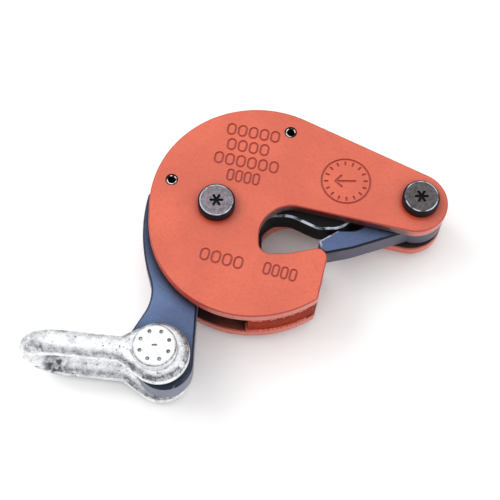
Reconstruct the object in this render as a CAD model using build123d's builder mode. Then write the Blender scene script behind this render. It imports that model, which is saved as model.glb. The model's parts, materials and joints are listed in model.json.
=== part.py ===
"""Lifting clamp for plate edges and drum rims, lying on its side.

Millimetres. +Z is square to the side plates, and the clamp lies on z = 0. The origin is on the
lever's pivot axis, in the outer face of the rear collar. The mouth opens towards +X, and the shackle
lies towards -X. Everything is drawn closed: the lever just off its stop, and the arm's nose down
between the side plates, over the jaw block.
"""

from build123d import *
from math import acos, atan2, cos, degrees, radians, sin
import os

# ---- stack along Z --------------------------------------------------------------------------
plate_thickness = 6.0
plate_gap = 15.0
bar_thickness = 13.4
washer_thickness = 0.7
head_height = 5.0

rear_plate_z = head_height
gap_z = rear_plate_z + plate_thickness
middle_z = gap_z + plate_gap / 2
front_plate_z = gap_z + plate_gap
front_face_z = front_plate_z + plate_thickness
bar_z = middle_z - bar_thickness / 2

# ---- pivots ---------------------------------------------------------------------------------
lever_pivot = (0.0, 0.0)
arm_pivot = (95.6, 3.0)
shackle_pivot = (-25.8, -74.2)
pivot_radius = 6.0
spigot_radius = 4.5
head_radius = 8.7
bush_radius = 8.0
running_clearance = 0.05

# ---- side plate outline ---------------------------------------------------------------------
crown_center = (19.5, 0.0)
crown_radius = 51.0
flank_length = 7.5
lower_radius = 48.0
belly_radius = 55.2
belly_sweep = 32.8
nose_center = (93.4, 2.5)
nose_radius = 15.4
mouth_center = (35.4, -15.9)
mouth_radius = 15.6
heel_y = -24.6
heel_end_x = 33.0
jaw_tip = (52.8, -20.2)
plate_edge_round = 0.7

# ---- lever and arm --------------------------------------------------------------------------
hub_radius = 16.0
finger_center = (54.2, 3.0)
finger_radius = 12.0
lever_eye_center = (-22.4, -75.0)
lever_eye_radius = 12.8
lever_washer_radius = 12.0
arm_washer_radius = 11.0
spring_post = (4.0, 18.5)
spring_ear_radius = 6.0
spring_ear_neck = 9.0
spring_ear_neck_y = 14.0
spring_slot_play = 0.6
spring_slot_length = 21.0
spring_slot_depth = 16.0
spring_slot_center = (spring_post[0] + 3.5, spring_post[1] + 3.6)
arm_boss_radius = 13.4
bar_edge_chamfer = 0.9

# ---- spring pins, sleeves and spring --------------------------------------------------------
upper_pin = (35.2, 38.6)
left_pin = (-21.2, 12.7)
spring_pin_radius = 3.0
spring_pin_bore = 1.9
spring_pin_slit = 1.0
upper_slit_angle = 100.0
left_slit_angle = 70.0
sleeve_radius = 4.8
sleeve_groove_radius = 3.9
sleeve_groove_width = 2.4
post_radius = 2.0
post_chamfer = 0.4
hook_play = 0.15
tail_length = 3.0
tail_radius = 0.4
spring_wire = 1.0
spring_radius = 3.0

# ---- shackle --------------------------------------------------------------------------------
rod_radius = 5.75
shackle_width = 18.0
shackle_pin_radius = 6.3
shackle_pin_play = 0.08
shackle_pin_end_z = 0.3
shackle_ear_radius = 13.8
shackle_ear_shift = -1.3
shackle_ear_round = 5.2
shackle_neck = 14.5
shackle_reach = 62.9
shackle_angle = 174.0
shackle_head_radius = 9.7
shackle_head_height = 5.7
shackle_head_round = 1.2
leg_offset = shackle_width / 2 + rod_radius
shackle_z = leg_offset + rod_radius

# ---- stamped marks --------------------------------------------------------------------------
stamp_depth = 0.5
stamp_width = 0.95
stamp_height = 5.6
letter_width = 3.7
letter_pitch = 5.3
digit_width = 2.7
digit_pitch = 4.1
stamp_tilt = -11.0
star_length = 6.6
star_groove = 1.25
star_depth = 0.7
star_grooves = 3
pin_mark_ring = 6.7
pin_mark_count = 8
pin_mark_turn = 20.0
pin_mark_radius = 0.9
pin_mark_slot = 2.4
pin_mark_width = 1.0


def polar(center, radius, angle):
    """The point at an angle in degrees on a circle."""
    return (center[0] + radius * cos(radians(angle)), center[1] + radius * sin(radians(angle)))


def normal_angle(center_a, center_b, radius_difference):
    """Angle of the normal that two circles share along a common tangent, to the left of a to b."""
    dx = center_b[0] - center_a[0]
    dy = center_b[1] - center_a[1]
    distance = (dx * dx + dy * dy) ** 0.5
    return degrees(atan2(dy, dx)) + degrees(acos(radius_difference / distance))


def round_corners(face, corners):
    """Rounds corners of the sketch in progress, each given as its point and radius."""
    for point, radius in corners:
        fillet(face.vertices().sort_by_distance(Vector(*point, 0))[0], radius)


# ---- outlines -------------------------------------------------------------------------------
def side_plate_face():
    """Round body with a tapered arm over a hooked lower jaw."""
    back_normal = normal_angle(crown_center, nose_center, crown_radius - nose_radius)
    lip_normal = normal_angle(mouth_center, nose_center, mouth_radius + nose_radius)
    flank_x = crown_center[0] - crown_radius
    mouth_left = mouth_center[0] - mouth_radius
    with BuildSketch() as face:
        with BuildLine():
            flank = Line((flank_x, 0), (flank_x, -flank_length))
            lower = JernArc(flank @ 1, flank % 1, lower_radius, 90)
            belly = JernArc(lower @ 1, lower % 1, belly_radius, belly_sweep)
            jaw_foot = belly @ 1
            Polyline(jaw_foot, jaw_tip, (heel_end_x, heel_y + 0.3), (mouth_left, heel_y),
                     (mouth_left, mouth_center[1]))
            mouth = CenterArc(mouth_center, mouth_radius, 180, lip_normal - 180)
            lip = Line(mouth @ 1, polar(nose_center, nose_radius, lip_normal + 180))
            nose = CenterArc(nose_center, nose_radius, lip_normal + 180, back_normal + 180 - lip_normal)
            back = Line(nose @ 1, polar(crown_center, crown_radius, back_normal))
            CenterArc(crown_center, crown_radius, back_normal, 180 - back_normal)
        make_face()
        round_corners(face, [
            ((mouth_left, heel_y), 5.4), ((heel_end_x, heel_y), 14), (jaw_tip, 4.6),
            ((jaw_foot.X, jaw_foot.Y), 2.5),
        ])
    return face.sketch


def lever_face():
    """Hub with a finger over the mouth and an arm down to the shackle eye."""
    finger_top = normal_angle(lever_pivot, finger_center, hub_radius - finger_radius)
    with BuildSketch() as face:
        with BuildLine():
            flank = ThreePointArc((-32.2, 9.0), (-34.4, -10.0), (-27.2, -43.0))
            Polyline(flank @ 1, (-39.0, -62.5), (-39.0, -71.0),
                     polar(lever_eye_center, lever_eye_radius, 208))
            eye = CenterArc(lever_eye_center, lever_eye_radius, 208, 152)
            Polyline(eye @ 1, (-7.8, -37.5), (21.3, -20.5), (21.3, -2.8), (35.0, -2.6),
                     (48.5, -9.3))
            under = Line((48.5, -9.3), polar(finger_center, finger_radius, 264))
            tip = CenterArc(finger_center, finger_radius, 264, finger_top + 96)
            top = Line(tip @ 1, polar(lever_pivot, hub_radius, finger_top))
            crown = CenterArc(lever_pivot, hub_radius, finger_top, 128 - finger_top)
            Polyline(crown @ 1, (-15.5, 7.5), (-27.5, 7.5), (-32.2, 9.0))
        make_face()
        round_corners(face, [
            ((-32.2, 9.0), 1), ((-15.5, 7.5), 2.5), ((-27.2, -43.0), 20), ((-39.0, -62.5), 5),
            ((-39.0, -71.0), 8), ((-7.8, -37.5), 7), ((21.3, -20.5), 4), ((21.3, -2.8), 7),
            ((35.0, -2.6), 12), ((48.5, -9.3), 10),
        ])
        with Locations(spring_post):
            Circle(spring_ear_radius)
        with Locations(((spring_post[0] + lever_pivot[0]) / 2, spring_ear_neck_y)):
            Rectangle(2 * spring_ear_radius, spring_ear_neck)
    return face.sketch


def arm_face():
    """Round boss with a tapered bar whose nose closes on the jaw."""
    with BuildSketch() as face:
        with BuildLine():
            Polyline(
                (92.0, -9.3), (64.0, -18.6), (51.2, -21.3), (49.3, -20.2), (48.4, -14.9),
                (57.5, -9.4), (68.0, -9.4), (86.6, 12.0), (92.0, -9.3),
            )
        make_face()
        round_corners(face, [((57.5, -9.4), 3), ((68.0, -9.4), 10), ((64.0, -18.6), 30)])
        with Locations(arm_pivot):
            Circle(arm_boss_radius)
    return face.sketch


def jaw_block_face():
    """The plates' outline drawn in a little, cut off to a lug under the mouth."""
    recess = 0.8
    with BuildSketch() as face:
        add(side_plate_face())
        offset(amount=-recess)
        with BuildLine():
            Polyline((16.0, -60), (12.8, -42), (16.5, -30), (25.5, -24), (60, -10), (60, -60), close=True)
        make_face(mode=Mode.INTERSECT)
    return face.sketch


def zero_row(count, start, tilt, width, pitch):
    """Plain zeros along a tilted line that starts at the first one's lower left corner."""
    with BuildSketch() as marks:
        for index in range(count):
            corner = polar(start, index * pitch, tilt)
            center = polar(polar(corner, width / 2, tilt), stamp_height / 2, tilt + 90)
            with Locations(Location((*center, 0), tilt + 90)):
                SlotOverall(stamp_height + stamp_width, width + stamp_width)
                SlotOverall(stamp_height - stamp_width, width - stamp_width, mode=Mode.SUBTRACT)
    return marks.sketch


def load_arrow(center, ring_radius):
    """A ring with ticks around a plain arrow that points along the line of pull."""
    tick_length = 2.2
    tick_gap = 0.6
    tick_count = 16
    arrow_width = 1.15
    arrow_length = 10.0
    barb_length = 4.2
    arrow_tip = (center[0] - arrow_length / 2, center[1])
    with BuildSketch() as mark:
        with Locations(center):
            Circle(ring_radius)
            Circle(ring_radius - stamp_width, mode=Mode.SUBTRACT)
            with PolarLocations(ring_radius - stamp_width - tick_gap - tick_length / 2, tick_count):
                SlotOverall(tick_length, stamp_width)
            SlotOverall(arrow_length, arrow_width)
        for barb_angle in (-45, 45):
            with Locations(Location((*polar(arrow_tip, barb_length / 2, barb_angle), 0), barb_angle)):
                SlotOverall(barb_length + stamp_width, arrow_width)
    return mark.sketch


def star_mark(center, length, width, count):
    """Short grooves that cross at a point."""
    with BuildSketch() as mark:
        with Locations(center):
            with PolarLocations(0, count, angular_range=180, endpoint=False):
                SlotOverall(length, width)
    return mark.sketch


# ---- side plates and jaw --------------------------------------------------------------------
def side_plate(bottom_z):
    """A plate with its pivot and pin holes, and the outer edges rounded over."""
    with BuildPart() as plate:
        with BuildSketch(Plane.XY.offset(bottom_z)):
            add(side_plate_face())
        extrude(amount=plate_thickness)
        fillet(plate.faces().sort_by(Axis.Z)[-1].edges(), plate_edge_round)
        fillet(plate.faces().sort_by(Axis.Z)[0].edges(), plate_edge_round)
        with Locations(Plane.XY.offset(bottom_z + plate_thickness)):
            with Locations(lever_pivot, arm_pivot):
                Hole(pivot_radius, depth=plate_thickness)
            with Locations(upper_pin, left_pin):
                Hole(spring_pin_radius, depth=plate_thickness)
    return plate.part


with BuildPart() as front_side_plate:
    add(side_plate(front_plate_z))
    with BuildSketch(Plane.XY.offset(front_face_z)):
        add(zero_row(5, (4.6, 37.6), stamp_tilt, letter_width, letter_pitch))
        add(zero_row(4, (4.6, 29.4), stamp_tilt, letter_width, letter_pitch))
        add(zero_row(6, (-1.4, 22.3), stamp_tilt, letter_width, letter_pitch))
        add(zero_row(4, (4.6, 13.0), stamp_tilt, digit_width, digit_pitch))
        add(zero_row(4, (-7.5, -27.5), stamp_tilt - 4, letter_width, letter_pitch))
        add(zero_row(4, (21.5, -34.5), stamp_tilt - 4, digit_width, digit_pitch))
        add(load_arrow((61.0, 12.8), 12.0))
    extrude(amount=-stamp_depth, mode=Mode.SUBTRACT)

with BuildPart() as rear_side_plate:
    add(side_plate(rear_plate_z))

with BuildPart() as lower_jaw_block:
    with BuildSketch(Plane.XY.offset(gap_z)):
        add(jaw_block_face())
    extrude(amount=plate_gap)


# ---- lever and arm --------------------------------------------------------------------------
def bar(face, bores):
    """A flat bar in the middle of the gap, chamfered all round, with its bores."""
    with BuildPart() as piece:
        with BuildSketch(Plane.XY.offset(bar_z)):
            add(face)
        extrude(amount=bar_thickness)
        chamfer(piece.faces().sort_by(Axis.Z)[-1].edges(), bar_edge_chamfer)
        chamfer(piece.faces().sort_by(Axis.Z)[0].edges(), bar_edge_chamfer)
        for center, radius in bores:
            with Locations(Plane.XY.offset(bar_z + bar_thickness)):
                with Locations(center):
                    Hole(radius, depth=bar_thickness)
    return piece.part


with BuildPart() as lifting_lever:
    add(bar(lever_face(), [
        (lever_pivot, bush_radius),
        (shackle_pivot, shackle_pin_radius + shackle_pin_play),
        (spring_post, post_radius),
    ]))
    slot_width = 2 * (spring_radius + spring_slot_play)
    with BuildSketch(Plane.XY.offset(middle_z - slot_width / 2)):
        with Locations(spring_slot_center):
            Rectangle(spring_slot_length, spring_slot_depth)
    extrude(amount=slot_width, mode=Mode.SUBTRACT)

with BuildPart() as clamping_arm:
    add(bar(arm_face(), [(arm_pivot, bush_radius)]))


def bush(center):
    """A plain bearing bush, pressed into its bar."""
    with BuildPart() as piece:
        with BuildSketch(Plane.XY.offset(bar_z)):
            with Locations(center):
                Circle(bush_radius)
                Circle(pivot_radius + running_clearance, mode=Mode.SUBTRACT)
        extrude(amount=bar_thickness)
    return piece.part


def thrust_washer(center, bottom_z, outer_radius):
    """A thin washer between a bar and a side plate."""
    with BuildPart() as piece:
        with BuildSketch(Plane.XY.offset(bottom_z)):
            with Locations(center):
                Circle(outer_radius)
                Circle(pivot_radius + running_clearance, mode=Mode.SUBTRACT)
        extrude(amount=washer_thickness)
    return piece.part


# ---- pivot pins -----------------------------------------------------------------------------
def pivot_pin(center):
    """Shaft with a round, staked front head and a thin spigot for the rear collar."""
    rear_face_z = head_height
    head_round = 1.0
    half_section = [
        (0, 0), (spigot_radius, 0), (spigot_radius, rear_face_z), (pivot_radius, rear_face_z),
        (pivot_radius, front_face_z), (head_radius, front_face_z),
        (head_radius, front_face_z + head_height - head_round),
        (head_radius - head_round, front_face_z + head_height), (0, front_face_z + head_height), (0, 0),
    ]
    section_plane = Plane(origin=(center[0], center[1], 0), x_dir=(1, 0, 0), z_dir=(0, -1, 0))
    with BuildPart() as pin:
        with BuildSketch(section_plane):
            with BuildLine():
                Polyline(*half_section)
            make_face()
        revolve(axis=Axis((center[0], center[1], 0), (0, 0, 1)))
        with BuildSketch(Plane.XY.offset(front_face_z + head_height)):
            add(star_mark(center, star_length, star_groove, star_grooves))
        extrude(amount=-star_depth, mode=Mode.SUBTRACT)
    return pin.part


def pin_collar(center):
    """Round collar on the pin's spigot, outside the rear plate."""
    collar_chamfer = 0.8
    with BuildPart() as collar:
        with BuildSketch():
            with Locations(center):
                Circle(head_radius)
                Circle(spigot_radius, mode=Mode.SUBTRACT)
        extrude(amount=head_height)
        chamfer(collar.edges().group_by(Axis.Z)[0].sort_by(SortBy.RADIUS)[-1], collar_chamfer)
    return collar.part


# ---- spring pins and sleeves ----------------------------------------------------------------
def spring_pin(center, slit_angle):
    """Slotted tube pin through both side plates."""
    inset = 0.3
    slit_length = 5.6
    with BuildPart() as pin:
        with BuildSketch(Plane.XY.offset(rear_plate_z + inset)):
            with Locations(center):
                Circle(spring_pin_radius)
                Circle(spring_pin_bore, mode=Mode.SUBTRACT)
            with Locations(Location((*polar(center, spring_pin_radius, slit_angle), 0), slit_angle)):
                Rectangle(slit_length, spring_pin_slit, mode=Mode.SUBTRACT)
        extrude(amount=2 * plate_thickness + plate_gap - 2 * inset)
    return pin.part


def spacer_sleeve(center, groove):
    """Tube that keeps the plates apart, with a groove when it holds the spring."""
    with BuildPart() as sleeve:
        with BuildSketch(Plane.XY.offset(gap_z)):
            with Locations(center):
                Circle(sleeve_radius)
                Circle(spring_pin_radius, mode=Mode.SUBTRACT)
        extrude(amount=plate_gap)
        if groove:
            with BuildSketch(Plane.XY.offset(middle_z - sleeve_groove_width / 2)):
                with Locations(center):
                    Circle(2 * sleeve_radius)
                    Circle(sleeve_groove_radius, mode=Mode.SUBTRACT)
            extrude(amount=sleeve_groove_width, mode=Mode.SUBTRACT)
    return sleeve.part


# ---- closing spring -------------------------------------------------------------------------
with BuildPart() as spring_post_pin:
    with BuildSketch(Plane.XY.offset(bar_z)):
        with Locations(spring_post):
            Circle(post_radius)
    extrude(amount=bar_thickness)
    chamfer(spring_post_pin.edges(), post_chamfer)

span_x = upper_pin[0] - spring_post[0]
span_y = upper_pin[1] - spring_post[1]
span = (span_x * span_x + span_y * span_y) ** 0.5
spring_plane = Plane(
    origin=(spring_post[0], spring_post[1], middle_z), x_dir=(0, 0, 1), z_dir=(span_x, span_y, 0)
)
post_hook = post_radius + spring_wire / 2 + hook_play
sleeve_hook = sleeve_groove_radius + spring_wire / 2 + hook_play
coil_start = post_hook + tail_length
coil_end = span - sleeve_hook - tail_length
spring_heading = degrees(atan2(span_y, span_x))


def hook(center, radius, toward):
    """A closed loop of wire around a post."""
    ring_plane = Plane(
        origin=(*polar(center, radius, toward), middle_z), x_dir=(0, 0, 1),
        z_dir=(-sin(radians(toward)), cos(radians(toward)), 0),
    )
    with BuildPart() as loop:
        with BuildSketch(ring_plane):
            Circle(spring_wire / 2)
        revolve(axis=Axis((center[0], center[1], middle_z), (0, 0, 1)))
    return loop.part


with BuildPart() as closing_spring:
    with BuildSketch(spring_plane.offset(coil_start)):
        Circle(spring_radius)
    extrude(amount=coil_end - coil_start)
    for tail_start, tail_end in ((post_hook, coil_start), (coil_end, span - sleeve_hook)):
        with BuildSketch(spring_plane.offset(tail_start)):
            Circle(tail_radius)
        extrude(amount=tail_end - tail_start)
    add(hook(spring_post, post_hook, spring_heading))
    add(hook(upper_pin, sleeve_hook, spring_heading + 180))


# ---- shackle --------------------------------------------------------------------------------
def shackle_ear(frame_plane, middle):
    """Forged ear, rounded on both faces, that narrows to the rod."""
    with BuildPart() as ear:
        with BuildSketch(frame_plane.offset(middle - rod_radius)):
            with Locations((shackle_ear_shift, 0)):
                Circle(shackle_ear_radius)
            with Locations((shackle_neck, 0)):
                Circle(rod_radius)
            make_hull()
        extrude(amount=2 * rod_radius)
        fillet(ear.faces().sort_by(Axis.Z)[-1].edges(), shackle_ear_round)
        fillet(ear.faces().sort_by(Axis.Z)[0].edges(), shackle_ear_round)
    return ear.part


with BuildPart() as shackle_bow:
    bow_plane = Plane(
        origin=(shackle_pivot[0], shackle_pivot[1], shackle_z),
        x_dir=(cos(radians(shackle_angle)), sin(radians(shackle_angle)), 0),
        z_dir=(0, 0, 1),
    )
    leg_start = 8.0
    leg_end = shackle_reach - leg_offset - rod_radius
    side_plane = Plane(origin=bow_plane.origin, x_dir=bow_plane.x_dir, z_dir=-bow_plane.y_dir)
    with BuildLine(side_plane) as bow_path:
        upper_leg = Line((leg_start, leg_offset), (leg_end, leg_offset))
        crown_bend = JernArc(upper_leg @ 1, upper_leg % 1, leg_offset, -180)
        Line(crown_bend @ 1, (leg_start, -leg_offset))
    with BuildSketch(Plane(origin=bow_path.line @ 0, z_dir=bow_plane.x_dir)):
        Circle(rod_radius)
    sweep()
    for ear_middle in (-leg_offset, leg_offset):
        add(shackle_ear(bow_plane, ear_middle))
    with BuildSketch(bow_plane.offset(-leg_offset - rod_radius)):
        Circle(shackle_pin_radius)
    extrude(amount=2 * shackle_z, mode=Mode.SUBTRACT)

with BuildPart() as shackle_pin:
    ear_face_z = shackle_z + leg_offset + rod_radius
    head_top_z = ear_face_z + shackle_head_height
    with BuildSketch(Plane.XY.offset(shackle_pin_end_z)):
        with Locations(shackle_pivot):
            Circle(shackle_pin_radius)
    extrude(amount=ear_face_z - shackle_pin_end_z)
    with BuildSketch(Plane.XY.offset(ear_face_z)):
        with Locations(shackle_pivot):
            Circle(shackle_head_radius)
    extrude(amount=shackle_head_height)
    fillet(shackle_pin.edges().group_by(Axis.Z)[-1], shackle_head_round)
    with BuildSketch(Plane.XY.offset(head_top_z)):
        with Locations(shackle_pivot):
            SlotOverall(pin_mark_slot, pin_mark_width)
            with PolarLocations(pin_mark_ring, pin_mark_count, start_angle=pin_mark_turn):
                Circle(pin_mark_radius)
    extrude(amount=-stamp_depth, mode=Mode.SUBTRACT)


# ---- write ----------------------------------------------------------------------------------
os.makedirs("parts", exist_ok=True)

pieces = {
    "front_side_plate": front_side_plate.part,
    "rear_side_plate": rear_side_plate.part,
    "lower_jaw_block": lower_jaw_block.part,
    "lifting_lever": lifting_lever.part,
    "clamping_arm": clamping_arm.part,
    "lever_bush": bush(lever_pivot),
    "arm_bush": bush(arm_pivot),
    "lever_washer_front": thrust_washer(lever_pivot, bar_z + bar_thickness, lever_washer_radius),
    "lever_washer_rear": thrust_washer(lever_pivot, bar_z - washer_thickness, lever_washer_radius),
    "arm_washer_front": thrust_washer(arm_pivot, bar_z + bar_thickness, arm_washer_radius),
    "arm_washer_rear": thrust_washer(arm_pivot, bar_z - washer_thickness, arm_washer_radius),
    "lever_pin": pivot_pin(lever_pivot),
    "arm_pin": pivot_pin(arm_pivot),
    "lever_pin_collar": pin_collar(lever_pivot),
    "arm_pin_collar": pin_collar(arm_pivot),
    "upper_spring_pin": spring_pin(upper_pin, upper_slit_angle),
    "left_spring_pin": spring_pin(left_pin, left_slit_angle),
    "upper_spacer_sleeve": spacer_sleeve(upper_pin, True),
    "left_spacer_sleeve": spacer_sleeve(left_pin, False),
    "closing_spring": closing_spring.part,
    "spring_post": spring_post_pin.part,
    "shackle_bow": shackle_bow.part,
    "shackle_pin": shackle_pin.part,
}
for name, piece in pieces.items():
    piece.label = name
    export_step(piece, f"parts/{name}.step")
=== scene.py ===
import bpy
import json
from math import cos, pi, radians, sin
from mathutils import Matrix, Vector


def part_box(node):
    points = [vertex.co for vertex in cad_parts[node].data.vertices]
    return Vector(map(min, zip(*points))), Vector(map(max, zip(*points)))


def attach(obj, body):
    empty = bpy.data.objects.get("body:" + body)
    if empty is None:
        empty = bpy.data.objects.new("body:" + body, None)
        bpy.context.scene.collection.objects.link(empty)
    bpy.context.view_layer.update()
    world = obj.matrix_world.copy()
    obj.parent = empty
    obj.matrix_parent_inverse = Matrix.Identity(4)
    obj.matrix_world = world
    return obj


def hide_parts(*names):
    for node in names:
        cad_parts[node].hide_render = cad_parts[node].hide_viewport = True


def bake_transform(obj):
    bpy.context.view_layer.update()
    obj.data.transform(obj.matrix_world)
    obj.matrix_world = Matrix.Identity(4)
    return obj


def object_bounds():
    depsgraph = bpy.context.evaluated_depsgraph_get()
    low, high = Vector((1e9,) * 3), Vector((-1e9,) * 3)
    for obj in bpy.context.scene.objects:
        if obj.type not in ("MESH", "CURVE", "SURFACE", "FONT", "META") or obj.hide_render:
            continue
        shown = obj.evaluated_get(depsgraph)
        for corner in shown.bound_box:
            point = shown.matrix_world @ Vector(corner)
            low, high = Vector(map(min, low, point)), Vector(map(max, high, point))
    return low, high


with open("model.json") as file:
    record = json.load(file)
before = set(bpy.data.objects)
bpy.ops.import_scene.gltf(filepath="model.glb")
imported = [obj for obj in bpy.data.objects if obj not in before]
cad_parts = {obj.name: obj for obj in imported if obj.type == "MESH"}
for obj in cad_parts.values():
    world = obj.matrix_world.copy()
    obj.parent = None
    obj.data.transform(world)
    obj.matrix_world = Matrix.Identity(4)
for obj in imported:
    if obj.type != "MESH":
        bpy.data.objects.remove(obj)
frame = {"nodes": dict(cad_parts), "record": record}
cad_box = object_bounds()

# Metres. One millimetre is MM. Places on the object are worked out from the imported model, apart
# from three points in the mouth, which are given.
MM = 0.001
STAMP_DEPTH = 0.5 * MM
STAR_DEPTH = 0.7 * MM
nodes = frame["nodes"]


def middle(node):
    """The centre of a CAD node's box."""
    low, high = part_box(node)
    return (low + high) / 2


def top(node):
    """The height of a CAD node's highest point."""
    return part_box(node)[1].z


lever_axis = middle("lever_pin")
arm_axis = middle("arm_pin")
shackle_axis = middle("shackle_pin")
bow_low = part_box("shackle_bow")[0]
rod_diameter = 11.5 * MM
crown_inside = Vector((
    bow_low.x + 1.25 * rod_diameter, shackle_axis.y + 4 * MM, bow_low.z + 0.8 * rod_diameter))
mouth_middle = Vector((48 * MM, -8 * MM, middle("lifting_lever").z))
behind_mouth = Vector((53 * MM, -5 * MM, 0))
arm_nose = Vector((51 * MM, -11 * MM, top("clamping_arm")))


# ---- material graph -------------------------------------------------------------------------
class Shader:
    """A Principled material, with a short call for each kind of node that the finishes use."""

    def __init__(self, name, metallic=0.0, specular=0.5):
        self.material = bpy.data.materials.new(name)
        self.material.use_nodes = True
        self.tree = self.material.node_tree
        self.surface = self.tree.nodes["Principled BSDF"]
        self.surface.inputs["Metallic"].default_value = metallic
        self.surface.inputs["Specular IOR Level"].default_value = specular
        coordinate = self.tree.nodes.new("ShaderNodeTexCoord")
        self.position = coordinate.outputs["Object"]
        self.facing = self.part(coordinate.outputs["Normal"], "Z")
        self.height = self.part(self.position, "Z")

    def put(self, value, socket):
        """Links an output, or writes a number or a colour, into a socket."""
        if isinstance(value, bpy.types.NodeSocket):
            self.tree.links.new(value, socket)
        elif isinstance(value, tuple) and socket.type == "RGBA":
            socket.default_value = (*value, 1)
        else:
            socket.default_value = value

    def part(self, vector, axis):
        """One coordinate of a vector."""
        split = self.tree.nodes.new("ShaderNodeSeparateXYZ")
        self.put(vector, split.inputs[0])
        return split.outputs[axis]

    def math(self, operation, first, second=0.0, clamp=False):
        node = self.tree.nodes.new("ShaderNodeMath")
        node.operation = operation
        node.use_clamp = clamp
        self.put(first, node.inputs[0])
        self.put(second, node.inputs[1])
        return node.outputs[0]

    def ramp(self, value, low, high):
        """A smooth step from 0 at low to 1 at high."""
        node = self.tree.nodes.new("ShaderNodeMapRange")
        node.interpolation_type = "SMOOTHSTEP"
        self.put(value, node.inputs["Value"])
        node.inputs["From Min"].default_value = min(low, high)
        node.inputs["From Max"].default_value = max(low, high)
        node.inputs["To Min"].default_value = 0.0 if low < high else 1.0
        node.inputs["To Max"].default_value = 1.0 if low < high else 0.0
        return node.outputs["Result"]

    def stretched(self, scale):
        """The position, scaled along each axis."""
        node = self.tree.nodes.new("ShaderNodeVectorMath")
        node.operation = "MULTIPLY"
        self.put(self.position, node.inputs[0])
        node.inputs[1].default_value = scale
        return node.outputs[0]

    def noise(self, size, detail=2.0, roughness=0.5, vector=None):
        """Noise whose blotches are about size across."""
        node = self.tree.nodes.new("ShaderNodeTexNoise")
        self.put(vector or self.position, node.inputs["Vector"])
        node.inputs["Scale"].default_value = 1 / size
        node.inputs["Detail"].default_value = detail
        node.inputs["Roughness"].default_value = roughness
        return node.outputs["Fac"]

    def crystals(self, size):
        """A random value for each cell of a pattern of grains."""
        node = self.tree.nodes.new("ShaderNodeTexVoronoi")
        self.put(self.position, node.inputs["Vector"])
        node.inputs["Scale"].default_value = 1 / size
        return self.part(node.outputs["Color"], "X")

    def distance(self, center, flat):
        """The distance from a point, or from the upright axis through it."""
        offset = self.tree.nodes.new("ShaderNodeVectorMath")
        offset.operation = "SUBTRACT"
        self.put(self.position, offset.inputs[0])
        offset.inputs[1].default_value = center
        squashed = self.tree.nodes.new("ShaderNodeVectorMath")
        squashed.operation = "MULTIPLY"
        self.put(offset.outputs[0], squashed.inputs[0])
        squashed.inputs[1].default_value = (1, 1, 0 if flat else 1)
        length = self.tree.nodes.new("ShaderNodeVectorMath")
        length.operation = "LENGTH"
        self.put(squashed.outputs[0], length.inputs[0])
        return length.outputs["Value"]

    def mix(self, factor, first, second):
        """Colour that goes from the first to the second with the factor."""
        node = self.tree.nodes.new("ShaderNodeMix")
        node.data_type = "RGBA"
        self.put(factor, node.inputs["Factor"])
        colors = [socket for socket in node.inputs if socket.type == "RGBA"]
        self.put(first, colors[0])
        self.put(second, colors[1])
        return [socket for socket in node.outputs if socket.type == "RGBA"][0]

    def between(self, factor, low, high):
        """A number that goes from low to high with the factor."""
        return self.math("ADD", self.math("MULTIPLY", factor, high - low), low)

    def rim(self):
        """1 on rounded and chamfered edges between the flat faces and the sides."""
        slope = self.math("ABSOLUTE", self.facing)
        return self.math("MULTIPLY", self.ramp(slope, 0.08, 0.4), self.ramp(slope, 0.99, 0.93))

    def flat_top(self):
        """1 on faces that look straight up."""
        return self.ramp(self.facing, 0.9, 0.98)

    def crevice(self, reach):
        """0 in the open, and towards 1 in gaps and corners narrower than reach."""
        node = self.tree.nodes.new("ShaderNodeAmbientOcclusion")
        node.samples = 6
        node.inputs["Distance"].default_value = reach
        return self.math("SUBTRACT", 1.0, node.outputs["AO"])

    def sunk(self, surface_z, depth):
        """1 just below a top surface, down to a little under a mark of this depth."""
        below = self.ramp(self.height, surface_z - 0.02 * depth, surface_z - 0.12 * depth)
        above = self.ramp(self.height, surface_z - 2 * depth, surface_z - 1.5 * depth)
        return self.math("MULTIPLY", below, above)

    def mark_floor(self, surface_z, depth):
        """1 on the floor of a mark cut into a top surface."""
        return self.math("MULTIPLY", self.sunk(surface_z, depth), self.flat_top())

    def bump(self, height, depth):
        """Relief whose height runs from 0 to 1 over depth metres, on top of any before it."""
        node = self.tree.nodes.new("ShaderNodeBump")
        node.inputs["Strength"].default_value = 1.0
        node.inputs["Distance"].default_value = depth
        self.put(height, node.inputs["Height"])
        normal = self.surface.inputs["Normal"]
        if normal.is_linked:
            self.put(normal.links[0].from_socket, node.inputs["Normal"])
        self.put(node.outputs["Normal"], normal)

    def finish(self, color, roughness):
        self.put(color, self.surface.inputs["Base Color"])
        self.put(roughness, self.surface.inputs["Roughness"])
        return self.material


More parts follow.
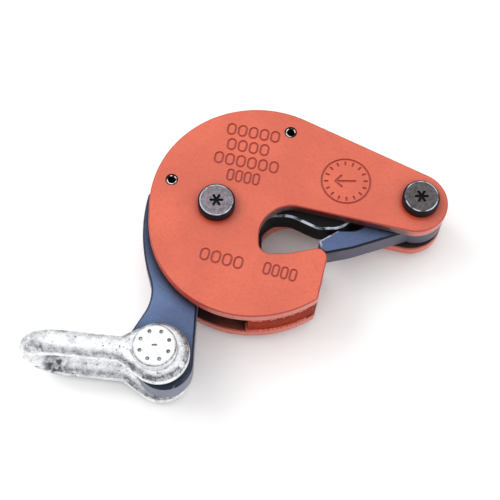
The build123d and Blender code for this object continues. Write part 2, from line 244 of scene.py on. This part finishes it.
# ---- finishes -------------------------------------------------------------------------------
def painted(name, light, dark, edge, side=None, edge_shade_share=0.7, coat=0.3, specular=0.5,
            crevice_shade=(8 * MM, 0.3, 0.6), crevice_shade_color=None, shaded_tops=None, shaded_walls=None, stamp_shade=None, shade_and_highlight=None,
            lumps=0.10 * MM):
    """Satin paint: uneven colour, orange peel, painted shade on the edges and in the gaps, small chips.

    Crevice shade and shaded tops give a reach, and the two amounts of cover between which painted
    shade sets in: crevice shade on every face, shaded tops on flat tops that lie under something.
    Shaded walls paints shade on the walls near a point. Stamp shade paints shade into the stamped
    marks. Shade and highlight paints shade near a point, where it gives a shade colour, and a
    highlight on the edges there.
    """
    shader = Shader(name, specular=specular)
    shader.surface.inputs["Coat Weight"].default_value = coat
    shader.surface.inputs["Coat Roughness"].default_value = 0.16
    cloud = shader.noise(26 * MM, 3)
    color = shader.mix(shader.ramp(cloud, 0.35, 0.65), dark, light)
    grain = shader.ramp(shader.noise(0.9 * MM, 3, 0.6), 0.42, 0.8)
    color = shader.mix(shader.math("MULTIPLY", grain, 0.3), color, edge)
    # Walls take the side colour: the cut sides' own tone, for the lever also a painted reflection.
    if side:
        wall = shader.ramp(shader.math("ABSOLUTE", shader.facing), 0.5, 0.2)
        color = shader.mix(shader.math("MULTIPLY", wall, 0.8), color, side)
    # Painted shade on the rounded and chamfered edges, in the edge colour.
    rim = shader.rim()
    color = shader.mix(shader.math("MULTIPLY", rim, edge_shade_share), color, edge)
    streaks = shader.noise(1.0, 2, 0.4, shader.stretched((1 / (14 * MM), 1 / (0.35 * MM), 1)))
    scratches = shader.math("MULTIPLY", shader.ramp(streaks, 0.72, 0.78), 0.4)
    color = shader.mix(scratches, color, edge)
    smear = shader.between(shader.noise(9 * MM, 4), 0.26, 0.56)
    # Painted shade near a point, where a shade colour is given, and a painted highlight on the edges
    # near it that fades with distance.
    if shade_and_highlight:
        center, reach, shade_color, highlight_color = shade_and_highlight
        near = shader.ramp(shader.distance(center, False), reach, 0.8 * reach)
        if shade_color:
            color = shader.mix(near, color, shade_color)
        edge_highlight = shader.math("MULTIPLY", rim, shader.ramp(shader.noise(5 * MM, 4, 0.6), 0.35, 0.6))
        fade = shader.ramp(shader.distance(center, False), 0.8 * reach, 0.3 * reach)
        edge_highlight = shader.math("MULTIPLY", fade, edge_highlight)
        color = shader.mix(edge_highlight, color, highlight_color)
        smear = shader.math("ADD", smear, shader.math("MULTIPLY", near, 0.3))
    # Painted shade: gaps and corners darken towards the shade colour, the more closed in they are.
    reach, low, high = crevice_shade
    crevice_darkening = shader.math("MULTIPLY", shader.ramp(shader.crevice(reach), low, high), 0.97)
    color = shader.mix(crevice_darkening, color, crevice_shade_color or SHADE_BLACK)
    grime_and_shade = 0.0
    # Painted shade on flat tops that lie under another part.
    if shaded_tops:
        reach, low, high = shaded_tops
        shade = shader.math("MULTIPLY", shader.ramp(shader.crevice(reach), low, high), shader.flat_top())
        grime_and_shade = shader.math("MAXIMUM", grime_and_shade, shade)
    # Painted shade on the walls near a point.
    if shaded_walls:
        center, reach = shaded_walls
        near = shader.ramp(shader.distance(center, True), reach, 0.85 * reach)
        walls = shader.math("SUBTRACT", 0.9, shader.flat_top(), clamp=True)
        grime_and_shade = shader.math("MAXIMUM", grime_and_shade, shader.math("MULTIPLY", near, walls))
    # Painted shade in the stamped marks: their floors take the given darker colour instead of the other
    # painted shade.
    if stamp_shade:
        surface_z, stamp_shade_color = stamp_shade
        marks = shader.sunk(surface_z, STAMP_DEPTH)
        grime_and_shade = shader.math("MULTIPLY", grime_and_shade, shader.math("SUBTRACT", 1.0, marks))
        color = shader.mix(shader.math("MULTIPLY", marks, 0.9), color, stamp_shade_color)
    # The painted shade on tops and walls goes to near black here.
    if shaded_tops or shaded_walls:
        color = shader.mix(shader.math("MULTIPLY", grime_and_shade, 0.97), color, SHADE_BLACK)
    chips = shader.ramp(shader.noise(2.6 * MM, 5, 0.65), 0.65, 0.68)
    chips = shader.math("MULTIPLY", chips, shader.math("ADD", rim, 0.06, clamp=True))
    color = shader.mix(chips, color, STEEL_GREY)
    shader.bump(shader.noise(0.8 * MM, 1), 0.03 * MM)
    shader.bump(shader.noise(6 * MM, 4), lumps)
    shader.bump(shader.math("SUBTRACT", 1.0, chips), 0.08 * MM)
    return shader.finish(color, shader.math("ADD", smear, shader.math("MULTIPLY", chips, 0.2)))


def turned(name, axis, head_radius, face, side, face_z):
    """Turned steel: rings and stains on the end face, a painted highlight just inside its black rim,
    which is partly painted shade, and painted shade in the star.
    """
    ring_pitch = 0.45 * MM
    line_inner = 0.84 * head_radius
    line_outer = 0.92 * head_radius
    line_blur = 0.25 * MM
    shader = Shader(name, metallic=0.4, specular=0.1)
    radius = shader.distance(axis, True)
    rings = shader.math("SINE", shader.math("MULTIPLY", radius, 2 * pi / ring_pitch))
    stain_and_shade = shader.noise(1.3 * MM, 4, 0.6)
    tone = shader.mix(shader.ramp(stain_and_shade, 0.3, 0.7), tuple(0.5 * c for c in face), face)
    # Painted highlight: a bright ring just inside the rim, broken up by noise.
    line = shader.math(
        "MULTIPLY", shader.ramp(radius, line_inner, line_inner + line_blur),
        shader.ramp(shader.noise(4 * MM, 3), 0.36, 0.56))
    tone = shader.mix(line, tone, EDGE_HIGHLIGHT)
    # Sides and the outer rim take the side colour, which is partly painted shade.
    inside = shader.ramp(radius, line_outer, line_outer - line_blur)
    upward = shader.ramp(shader.facing, 0.5, 0.65)
    color = shader.mix(shader.math("MULTIPLY", inside, upward), side, tone)
    # Painted shade in the stamped star.
    color = shader.mix(shader.mark_floor(face_z, STAR_DEPTH), color, SHADE_BLACK)
    shader.bump(rings, 0.004 * MM)
    shader.bump(shader.noise(0.7 * MM, 3), 0.03 * MM)
    return shader.finish(color, shader.between(shader.noise(2.2 * MM, 3), 0.3, 0.55))


def rolled_pin(name, axis, bright_radius):
    """Blackened spring steel, near black all over, which also stands for the shade in the hole; a
    painted highlight on the inner lip of the end face.
    """
    shader = Shader(name, metallic=0.7, specular=0.3)
    radius = shader.distance(axis, True)
    # Painted highlight: a broken bright ring on the end face, just inside the given radius.
    lip = shader.ramp(radius, 1.12 * bright_radius, bright_radius)
    lip = shader.math("MULTIPLY", lip, shader.ramp(shader.noise(2.5 * MM, 3), 0.42, 0.56))
    lip = shader.math("MULTIPLY", lip, shader.flat_top())
    color = shader.mix(lip, (0.012, 0.012, 0.014), (0.75, 0.74, 0.72))
    shader.bump(shader.noise(0.7 * MM, 3), 0.03 * MM)
    return shader.finish(color, shader.between(shader.noise(1.2 * MM, 3), 0.3, 0.5))


def machined(name, color, stained, roughness, metallic):
    """Plain machined metal with fine grain, a little staining and painted shade in its gaps."""
    shader = Shader(name, metallic=metallic)
    tone = shader.mix(shader.ramp(shader.noise(3 * MM, 4, 0.6), 0.4, 0.7), color, stained)
    # Painted shade in gaps and corners.
    tone = shader.mix(shader.ramp(shader.crevice(3 * MM), 0.3, 0.7), tone, SHADE_BLACK)
    shader.bump(shader.noise(0.6 * MM, 3), 0.02 * MM)
    smear = shader.noise(1.5 * MM, 3)
    return shader.finish(tone, shader.between(smear, roughness - 0.1, roughness + 0.12))


def galvanised(name, pin_axis, mark_z=None, stain_and_shade=None):
    """Hot-dip zinc: bright with faint grains, painted shade on the sloping shoulders, dark pitting in
    clusters, a lumpy skin.
    """
    shader = Shader(name, metallic=0.6)
    grains = shader.crystals(1.7 * MM)
    color = shader.mix(grains, (0.72, 0.74, 0.77), (0.92, 0.93, 0.94))
    blotch = shader.ramp(shader.noise(3.2 * MM, 6, 0.7), 0.42, 0.62)
    # Painted shade on the sloping faces, stronger near the pin; speckle and tarnish are added to it
    # below.
    shoulder_shade = shader.math(
        "MULTIPLY", shader.ramp(shader.facing, 0.98, 0.7), shader.ramp(shader.facing, 0.2, 0.45))
    by_the_pin = shader.ramp(shader.distance(pin_axis, True), 19 * MM, 13 * MM)
    grime_and_shade = shader.math("MULTIPLY", shoulder_shade, shader.between(blotch, 0.4, 0.85))
    grime_and_shade = shader.math("MULTIPLY", grime_and_shade, shader.between(by_the_pin, 0.8, 1.35))
    speckle = shader.ramp(shader.noise(0.8 * MM, 3, 0.6), 0.5, 0.72)
    grime_and_shade = shader.math("ADD", grime_and_shade, shader.math("MULTIPLY", speckle, 0.22), clamp=True)
    tarnish = shader.ramp(shader.noise(4.5 * MM, 4, 0.6), 0.46, 0.72)
    grime_and_shade = shader.math("ADD", grime_and_shade, shader.math("MULTIPLY", tarnish, 0.3), clamp=True)
    pits_and_mark_shade = shader.ramp(shader.noise(1.5 * MM, 4, 0.6), 0.61, 0.66)
    cluster = shader.ramp(shader.noise(9 * MM, 2), 0.40, 0.60)
    pits_and_mark_shade = shader.math("MULTIPLY", pits_and_mark_shade, shader.between(cluster, 0.3, 1.0))
    if mark_z:
        rough_part = shader.math("SUBTRACT", 1.0, shader.flat_top())
        pits_and_mark_shade = shader.math("MULTIPLY", pits_and_mark_shade, rough_part)
        grime_and_shade = shader.math("MULTIPLY", grime_and_shade, rough_part)
        # Painted shade in the stamped marks on the pin head: their floors go as dark as the pitting.
        marks = shader.math(
            "MULTIPLY", shader.mark_floor(mark_z, STAMP_DEPTH), shader.between(blotch, 0.3, 0.8))
        pits_and_mark_shade = shader.math("MAXIMUM", pits_and_mark_shade, marks)
    color = shader.mix(grime_and_shade, color, (0.13, 0.135, 0.15))
    # Painted shade: a dark patch near a point, on the inside of the shackle's crown.
    if stain_and_shade:
        center, reach = stain_and_shade
        near = shader.ramp(shader.distance(center, False), reach, 0.4 * reach)
        patchy_shade = shader.between(shader.ramp(shader.noise(4 * MM, 3, 0.5), 0.42, 0.56), 0.1, 0.9)
        color = shader.mix(shader.math("MULTIPLY", near, patchy_shade), color, (0.022, 0.024, 0.034))
    color = shader.mix(pits_and_mark_shade, color, (0.03, 0.03, 0.04))
    # Painted shade in gaps and corners.
    crevice_shade = shader.ramp(shader.crevice(3 * MM), 0.3, 0.55)
    color = shader.mix(shader.math("MULTIPLY", crevice_shade, 0.9), color, SHADE_BLACK)
    shader.bump(shader.noise(3.5 * MM, 3), 0.45 * MM)
    shader.bump(shader.math("SUBTRACT", 1.0, pits_and_mark_shade), 0.15 * MM)
    return shader.finish(color, shader.between(blotch, 0.3, 0.48))


ORANGE = (0.56, 0.095, 0.045)
DEEP_ORANGE = (0.50, 0.080, 0.038)
BRICK = (0.17, 0.018, 0.009)
# Deep orange for painted shade in the stamped marks and in the front plate's corners round the pin
# heads.
ORANGE_SHADE = (0.34, 0.022, 0.006)
# Darker reds that paint shade onto the jaw block, set back between the plates; the weld beads take their
# darker tone from the first.
RED = (0.27, 0.022, 0.005)
DEEP_RED = (0.18, 0.016, 0.005)
DARK_RED = (0.08, 0.008, 0.004)
BLUE = (0.105, 0.155, 0.290)
DEEP_BLUE = (0.085, 0.120, 0.235)
DIM_BLUE = (0.062, 0.088, 0.175)
NAVY = (0.006, 0.007, 0.012)
# Tone for the lever's cut sides: thinner paint there, lighter as a painted reflection of the floor.
LEVER_SIDE = (0.165, 0.175, 0.220)
ARM_SIDE = (0.070, 0.063, 0.076)
# Near black for painted shade.
SHADE_BLACK = (0.005, 0.005, 0.006)
# Bluish white for painted highlights on edges.
EDGE_HIGHLIGHT = (0.50, 0.54, 0.62)
STEEL_GREY = (0.20, 0.20, 0.21)
# Near black for the pin heads' sides and rims, partly painted shade.
BLACK_STEEL_AND_SHADE = (0.010, 0.010, 0.012)

# Painted shade over the lever in the mouth with a painted highlight on its edges there; a painted
# highlight on the edges of the arm's nose.
mouth_shade_and_highlight = (mouth_middle, 36 * MM, SHADE_BLACK, EDGE_HIGHLIGHT)
nose_highlight = (arm_nose, 12 * MM, None, EDGE_HIGHLIGHT)
# Front plate: deep orange painted shade round the pin heads and in the stamped marks, painted shade on
# the walls behind the mouth.
front_paint = painted("front_plate_paint", ORANGE, DEEP_ORANGE, BRICK, edge_shade_share=1.0, coat=0.45,
                      crevice_shade=(8 * MM, 0.12, 0.45), crevice_shade_color=ORANGE_SHADE, shaded_walls=(behind_mouth, 41 * MM),
                      stamp_shade=(top("front_side_plate"), ORANGE_SHADE))
rear_paint = painted("rear_plate_paint", ORANGE, DEEP_ORANGE, BRICK, crevice_shade=(6 * MM, 0.4, 0.7),
                     shaded_tops=(18 * MM, 0.1, 0.3))
# The jaw block takes the plates' paint as a painted-shade copy: darker reds, nearly no gloss.
block_shaded_paint = painted("jaw_block_shaded_paint", RED, DEEP_RED, DARK_RED, coat=0.0, specular=0.03,
                      crevice_shade=(5 * MM, 0.4, 0.7), lumps=1.2 * MM)
weld_paint = painted("weld_paint", ORANGE, DEEP_ORANGE, RED, edge_shade_share=0.2, crevice_shade=(1 * MM, 0.6, 0.9),
                     lumps=0.8 * MM)
lever_paint = painted("lever_paint", BLUE, DEEP_BLUE, NAVY, side=LEVER_SIDE, edge_shade_share=0.9, coat=0.05,
                      specular=0.15, shaded_tops=(16 * MM, 0.2, 0.42), shade_and_highlight=mouth_shade_and_highlight)
arm_paint = painted("arm_paint", DEEP_BLUE, DIM_BLUE, NAVY, side=ARM_SIDE, edge_shade_share=1.0, coat=0.05,
                    specular=0.15, crevice_shade=(5 * MM, 0.3, 0.6), shaded_tops=(12 * MM, 0.3, 0.5),
                    shade_and_highlight=nose_highlight)
pin_head_radius = (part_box("lever_pin")[1] - lever_axis).x
lever_pin_steel = turned("lever_pin_steel", lever_axis, pin_head_radius, (0.25, 0.22, 0.245),
                         BLACK_STEEL_AND_SHADE, top("lever_pin"))
arm_pin_steel = turned("arm_pin_steel", arm_axis, pin_head_radius, (0.115, 0.103, 0.108),
                       BLACK_STEEL_AND_SHADE, top("arm_pin"))
collar_steel = machined("collar_steel", (0.22, 0.22, 0.23), (0.10, 0.10, 0.11), 0.4, 0.6)
dark_steel = machined("dark_steel", (0.12, 0.12, 0.13), (0.05, 0.05, 0.05), 0.42, 0.8)
spring_steel = machined("spring_steel", (0.24, 0.25, 0.27), (0.12, 0.12, 0.13), 0.34, 0.9)
bronze = machined("bearing_bronze", (0.46, 0.28, 0.11), (0.24, 0.14, 0.06), 0.36, 0.9)
bow_zinc = galvanised("bow_zinc", shackle_axis, stain_and_shade=(crown_inside, 10 * MM))
pin_zinc = galvanised("pin_zinc", shackle_axis, mark_z=top("shackle_pin"))
upper_pin_steel = rolled_pin("upper_pin_steel", middle("upper_spring_pin"), 2.2 * MM)
left_pin_steel = rolled_pin("left_pin_steel", middle("left_spring_pin"), 2.2 * MM)

SLOT_MATERIAL = {
    "plate_paint": rear_paint, "bar_paint": arm_paint, "dark_steel": dark_steel,
    "spring_steel": spring_steel, "bronze": bronze, "galvanised": bow_zinc,
}
NODE_MATERIAL = {
    "front_side_plate": front_paint, "lower_jaw_block": block_shaded_paint, "lifting_lever": lever_paint,
    "lever_pin": lever_pin_steel, "arm_pin": arm_pin_steel, "lever_pin_collar": collar_steel,
    "arm_pin_collar": collar_steel, "shackle_pin": pin_zinc,
    "upper_spring_pin": upper_pin_steel, "left_spring_pin": left_pin_steel,
}
for part in frame["record"]["subparts"]:
    material = NODE_MATERIAL.get(part["node"], SLOT_MATERIAL[part["material_slot"]])
    node = nodes[part["node"]]
    node.data.materials.clear()
    node.data.materials.append(material)


# ---- closing spring -------------------------------------------------------------------------
def wire(name, points, wire_radius, material, swell=None):
    """A round wire along a list of points, as a mesh. Swell gives its thickness at each point."""
    curve = bpy.data.curves.new(name, "CURVE")
    curve.dimensions = "3D"
    curve.bevel_depth = wire_radius
    curve.bevel_resolution = 3
    curve.use_fill_caps = True
    spline = curve.splines.new("POLY")
    spline.points.add(len(points) - 1)
    for index, place in enumerate(points):
        spline.points[index].co = (*place, 1)
        spline.points[index].radius = swell[index] if swell else 1.0
    shape = bpy.data.objects.new(name + "_path", curve)
    bpy.context.scene.collection.objects.link(shape)
    bpy.context.view_layer.update()
    mesh = bpy.data.meshes.new_from_object(shape)
    bpy.data.objects.remove(shape)
    mesh.materials.clear()
    mesh.materials.append(material)
    for polygon in mesh.polygons:
        polygon.use_smooth = True
    piece = bpy.data.objects.new(name, mesh)
    bpy.context.scene.collection.objects.link(piece)
    return piece


def closing_spring():
    """A close-wound extension spring with a hook round the lever's post and one round the sleeve."""
    wire_radius = 0.5 * MM
    coil_radius = 3.0 * MM - wire_radius
    sleeve_groove_radius = 3.9 * MM
    hook_play = 0.15 * MM
    tail = 3.0 * MM
    steps = 20
    post = middle("spring_post")
    sleeve = middle("upper_spacer_sleeve")
    post_hook = (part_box("spring_post")[1].x - post.x) + wire_radius + hook_play
    sleeve_hook = sleeve_groove_radius + wire_radius + hook_play
    along = (sleeve - post).normalized()
    across = Vector((0, 0, 1))
    sideways = across.cross(along)
    span = (sleeve - post).length

    def hook(center, radius, heading, start, sweep):
        """Points round a post, in the plane of the plates."""
        side = across.cross(heading)
        angles = [start + sweep * step / steps for step in range(steps + 1)]
        return [center + radius * (cos(a) * heading + sin(a) * side) for a in angles]

    coil_start = post_hook + tail
    coil_length = span - sleeve_hook - tail - coil_start
    pitch = 2.05 * wire_radius
    turns = round(coil_length / pitch)
    helix = []
    for step in range(turns * steps + 1):
        angle = 2 * pi * step / steps
        forward = coil_start + coil_length * step / (turns * steps)
        swing = cos(angle) * across + sin(angle) * sideways
        helix.append(post + forward * along + coil_radius * swing)
    first = hook(post, post_hook, along, radians(300), radians(-300))
    last = hook(sleeve, sleeve_hook, -along, 0, radians(300))
    points = first + [post + (coil_start - wire_radius) * along] + helix
    points += [sleeve - (sleeve_hook + tail - wire_radius) * along] + last
    spring = wire("closing_spring_coil", points, wire_radius, spring_steel)
    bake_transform(spring)
    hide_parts("closing_spring")


closing_spring()


# ---- weld beads -----------------------------------------------------------------------------
def weld_bead(name, seam_z):
    """A lumpy bead along the jaw block's outer edge, in the corner with a side plate."""
    block = nodes["lower_jaw_block"]
    center = middle("lower_jaw_block")
    first_heading = radians(216)
    last_heading = radians(318)
    outside = 80 * MM
    bead_radius = 1.3 * MM
    end_size = 0.4
    end_growth = 20
    mean_size = 0.7
    ripple_size = 0.15
    slow_ripple = 0.37
    ripples = 16
    steps = 120
    points = []
    swell = []
    for step in range(steps + 1):
        share = step / steps
        heading = first_heading + share * (last_heading - first_heading)
        outward = Vector((cos(heading), sin(heading), 0))
        hit = block.ray_cast(center + outside * outward, -outward)[1]
        points.append(Vector((hit.x, hit.y, seam_z)))
        ripple = cos(2 * pi * ripples * share) + cos(2 * pi * slow_ripple * ripples * share)
        taper = min(1.0, end_size + end_growth * min(share, 1 - share))
        swell.append(taper * (mean_size + ripple_size * ripple))
    bead = wire(name, points, bead_radius, weld_paint, swell)
    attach(bead, "frame")


weld_bead("rear_weld_bead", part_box("lower_jaw_block")[0].z)
weld_bead("front_weld_bead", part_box("lower_jaw_block")[1].z)

# ---- floor ----------------------------------------------------------------------------------
paper = Shader("white_paper", specular=0.2)
paper_tone = paper.mix(paper.noise(30 * MM, 4), (0.86, 0.85, 0.85), (0.89, 0.885, 0.885))
paper.bump(paper.noise(1.2 * MM, 3), 0.05 * MM)
floor_half = 3.0
floor_mesh = bpy.data.meshes.new("floor")
floor_mesh.from_pydata(
    [(-floor_half, -floor_half, 0), (floor_half, -floor_half, 0), (floor_half, floor_half, 0),
     (-floor_half, floor_half, 0)], [], [(0, 1, 2, 3)])
floor_mesh.materials.append(paper.finish(paper_tone, paper.between(paper.noise(4 * MM), 0.8, 0.95)))
floor = bpy.data.objects.new("floor", floor_mesh)
floor.location.z = cad_box[0].z
bpy.context.scene.collection.objects.link(floor)

# ---- camera ---------------------------------------------------------------------------------
tilt = radians(23.0)
yaw = radians(-1.2)
roll = radians(0.1)
camera_distance = 0.552
aim = Vector((0.01572, -0.02301, 0.032))
back = Vector((sin(yaw) * cos(tilt), -sin(tilt), cos(yaw) * cos(tilt)))
level_right = (-back).cross(Vector((0, 1, 0))).normalized()
level_up = level_right.cross(-back)
right = cos(roll) * level_right + sin(roll) * level_up
up = cos(roll) * level_up - sin(roll) * level_right
camera_data = bpy.data.cameras.new("camera")
camera_data.lens = 86.4
camera_data.sensor_width = 36
camera = bpy.data.objects.new("camera", camera_data)
rotation = Matrix((right, up, back)).transposed()
camera.matrix_world = Matrix.Translation(aim + back * camera_distance) @ rotation.to_4x4()
bpy.context.scene.collection.objects.link(camera)
bpy.context.scene.camera = camera


# ---- light ----------------------------------------------------------------------------------
def soft_light(name, direction, distance, size, power, shines=True):
    """A square soft box that looks at the object."""
    light = bpy.data.lights.new(name, "AREA")
    light.size = size
    light.energy = power
    lamp = bpy.data.objects.new(name, light)
    lamp.location = aim + Vector(direction).normalized() * distance
    lamp.rotation_euler = (aim - lamp.location).to_track_quat("-Z", "Y").to_euler()
    lamp.visible_glossy = shines
    bpy.context.scene.collection.objects.link(lamp)


soft_light("left_window", (-0.8, 0.36, 0.56), 1.0, 1.0, 9.5, shines=False)
soft_light("right_strip", (0.85, -0.45, 0.22), 0.8, 0.45, 2.0)

# The sky is bright overhead and dim at the horizon, as under a large soft box.
world = bpy.data.worlds.new("studio")
bpy.context.scene.world = world
world.use_nodes = True
sky = world.node_tree
sky_direction = sky.nodes.new("ShaderNodeTexCoord")
sky_split = sky.nodes.new("ShaderNodeSeparateXYZ")
sky_ramp = sky.nodes.new("ShaderNodeMapRange")
sky_ramp.inputs["To Min"].default_value = 0.62
sky_ramp.inputs["To Max"].default_value = 1.26
sky.links.new(sky_direction.outputs["Generated"], sky_split.inputs[0])
sky.links.new(sky_split.outputs["Z"], sky_ramp.inputs["Value"])
sky.links.new(sky_ramp.outputs["Result"], sky.nodes["Background"].inputs["Strength"])
sky.nodes["Background"].inputs["Color"].default_value = (1, 1, 1, 1)
bpy.context.scene.view_settings.view_transform = "Standard"
